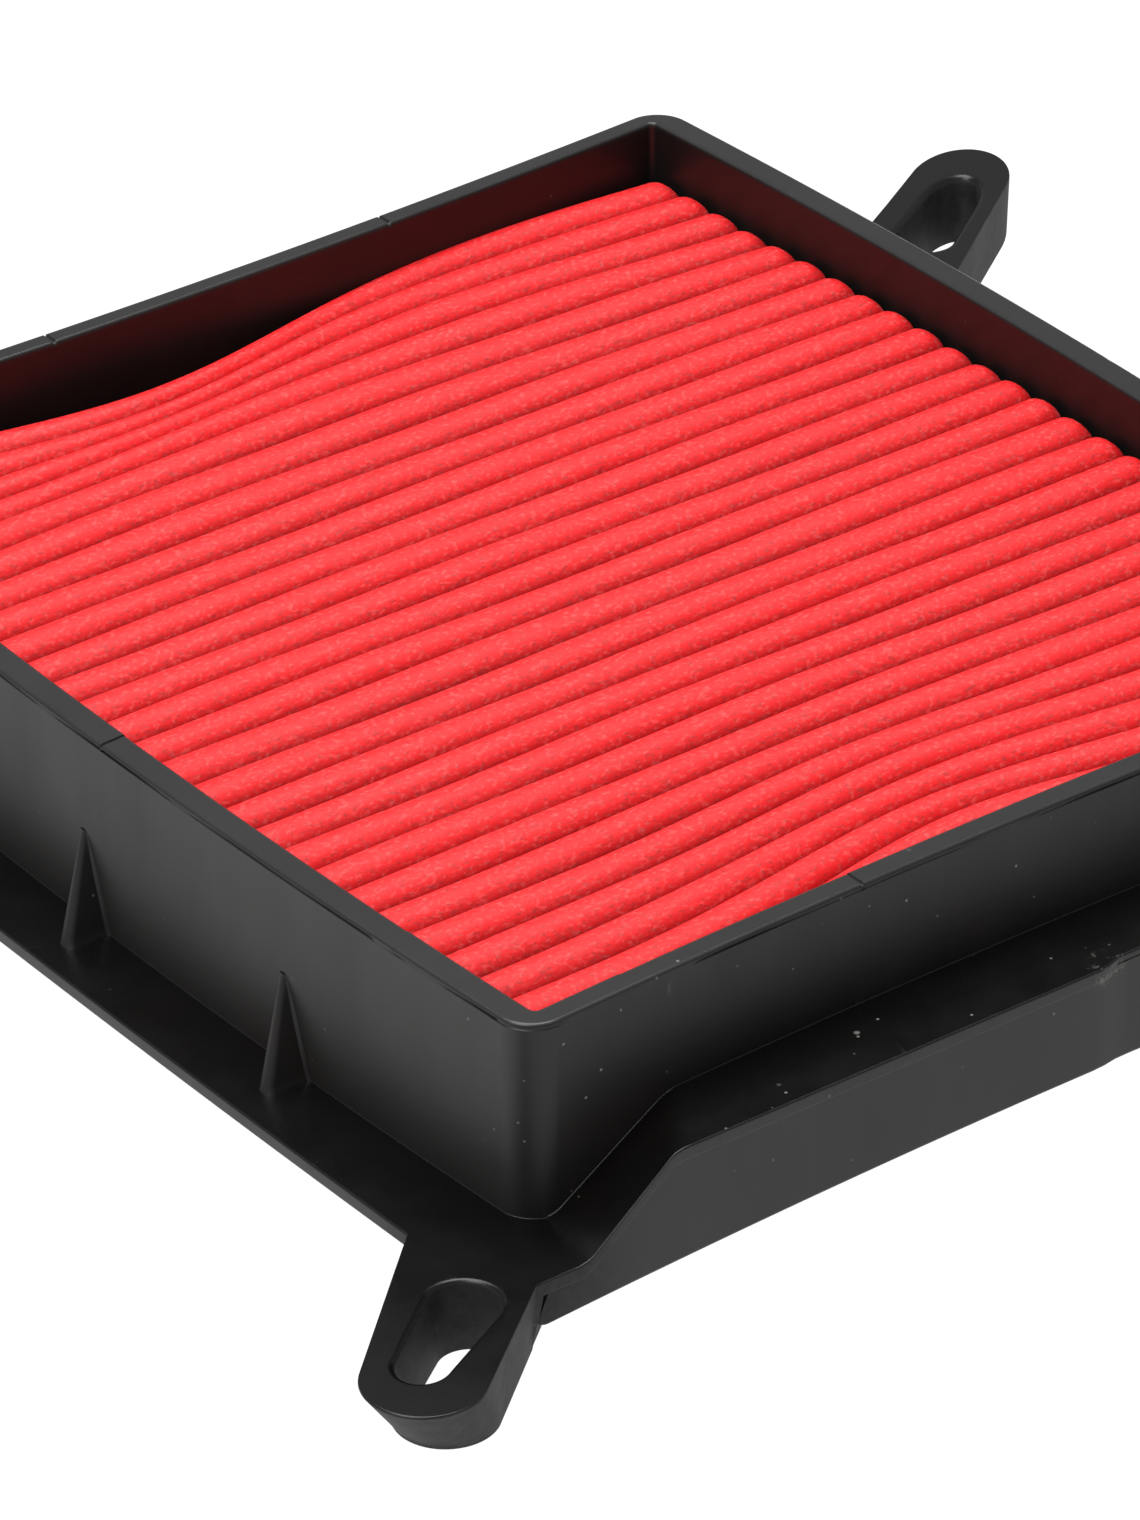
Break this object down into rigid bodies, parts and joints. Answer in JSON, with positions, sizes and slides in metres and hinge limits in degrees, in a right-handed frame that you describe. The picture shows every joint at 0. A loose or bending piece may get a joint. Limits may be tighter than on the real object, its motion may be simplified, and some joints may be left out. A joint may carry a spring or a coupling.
{
  "type": "panel air filter",
  "caption": "Panel air filter: bowed black plastic casing with a stepped flange and two slotted ears, holding a pack of red pleated paper.",
  "frame": {"origin": "bottom centre of the bounding box, in the plane of the gasket's sealing face", "axes": "+X along the pleats, from the low-flange side towards the far ear; +Y across the pleats, away from the apron; +Z out of the air inlet side"},
  "size_m": [0.231, 0.2054, 0.037],
  "materials": {
    "casing_plastic": "black injection-moulded plastic, semi-matte, lightly scuffed",
    "filter_paper": "red resin-treated filter paper with fine dark fibres, matte",
    "gasket_foam": "black closed-cell foam",
    "screen_wire": "zinc-plated wire",
    "potting": "dark polyurethane potting",
    "hot_melt": "cream hot-melt adhesive"
  },
  "bodies": {
    "root": {"casing": "casing_plastic", "pleated_paper": "filter_paper", "foam_gasket": "gasket_foam", "backing_screen": "screen_wire", "pleat_potting_left": "potting", "pleat_potting_right": "potting", "end_bead_near": "potting", "end_bead_far": "potting", "spacer_bead_1": "hot_melt", "spacer_bead_2": "hot_melt", "spacer_bead_3": "hot_melt"}
  },
  "joints": []
}
